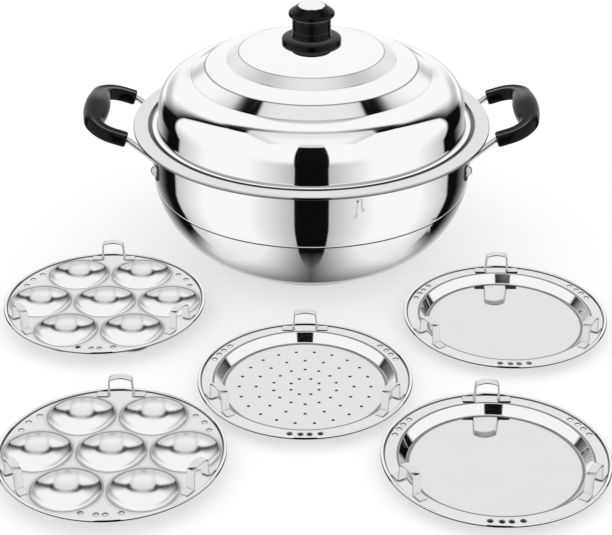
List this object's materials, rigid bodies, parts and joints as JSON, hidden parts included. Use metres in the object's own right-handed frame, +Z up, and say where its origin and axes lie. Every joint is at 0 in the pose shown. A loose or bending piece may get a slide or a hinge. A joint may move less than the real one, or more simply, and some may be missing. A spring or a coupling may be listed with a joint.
{
  "type": "idli steamer",
  "caption": "Deep steel steaming pot with side grips and a stepped knob lid, shown with its idli plates, perforated steamer plate and flat dish plates.",
  "frame": {"origin": "centre of the flat underside of the pot's base, on the surface that everything stands on", "axes": "+Z up along the pot's axis, -Y towards the front where the loose plates lie, +X to the right handle"},
  "size_m": [0.5499, 0.644, 0.2488],
  "materials": {
    "polished_steel": "mirror-polished stainless steel",
    "plate_steel": "bright pressed stainless steel",
    "rod_steel": "polished steel rod and rivets",
    "disc_steel": "satin steel disc, bare",
    "aluminium_core": "pressed aluminium, sealed inside the base",
    "brass": "turned brass thread insert",
    "bakelite": "moulded black bakelite, low gloss"
  },
  "bodies": {
    "pot": {"pot_shell": "polished_steel", "base_core": "aluminium_core", "base_cap": "polished_steel", "left_handle_rod": "rod_steel", "left_grip": "bakelite", "left_rivets": "rod_steel", "right_handle_rod": "rod_steel", "right_grip": "bakelite", "right_rivets": "rod_steel"},
    "lid": {"lid_shell": "polished_steel", "knob_guard": "bakelite", "knob_body": "bakelite", "knob_disc": "disc_steel", "knob_insert": "brass", "knob_screw": "rod_steel", "knob_washer": "rod_steel"},
    "idli_plate_1": {"idli_plate_1": "plate_steel", "idli_plate_1_loop_1": "plate_steel", "idli_plate_1_loop_2": "plate_steel", "idli_plate_1_loop_3": "plate_steel"},
    "idli_plate_2": {"idli_plate_2": "plate_steel", "idli_plate_2_loop_1": "plate_steel", "idli_plate_2_loop_2": "plate_steel", "idli_plate_2_loop_3": "plate_steel"},
    "steamer_plate": {"steamer_plate": "plate_steel", "steamer_plate_loop_1": "plate_steel", "steamer_plate_loop_2": "plate_steel", "steamer_plate_loop_3": "plate_steel"},
    "dish_plate_1": {"dish_plate_1": "plate_steel", "dish_plate_1_loop_1": "plate_steel", "dish_plate_1_loop_2": "plate_steel", "dish_plate_1_loop_3": "plate_steel"},
    "dish_plate_2": {"dish_plate_2": "plate_steel", "dish_plate_2_loop_1": "plate_steel", "dish_plate_2_loop_2": "plate_steel", "dish_plate_2_loop_3": "plate_steel"}
  },
  "joints": [
    {"name": "lid_lift", "type": "slide", "parent": "pot", "child": "lid", "axis": [0, 0, 1], "range_m": [0, 0.16]},
    {"name": "idli_1_lift", "type": "slide", "parent": "pot", "child": "idli_plate_1", "axis": [-0.3495, -0.5493, 0.759], "range_m": [0, 0.12]},
    {"name": "idli_2_lift", "type": "slide", "parent": "pot", "child": "idli_plate_2", "axis": [0, 0, 1], "range_m": [0, 0.12]},
    {"name": "steamer_lift", "type": "slide", "parent": "pot", "child": "steamer_plate", "axis": [0, 0, 1], "range_m": [0, 0.12]},
    {"name": "dish_1_lift", "type": "slide", "parent": "pot", "child": "dish_plate_1", "axis": [0.3495, -0.5493, 0.759], "range_m": [0, 0.12]},
    {"name": "dish_2_lift", "type": "slide", "parent": "pot", "child": "dish_plate_2", "axis": [0, 0, 1], "range_m": [0, 0.12]}
  ]
}
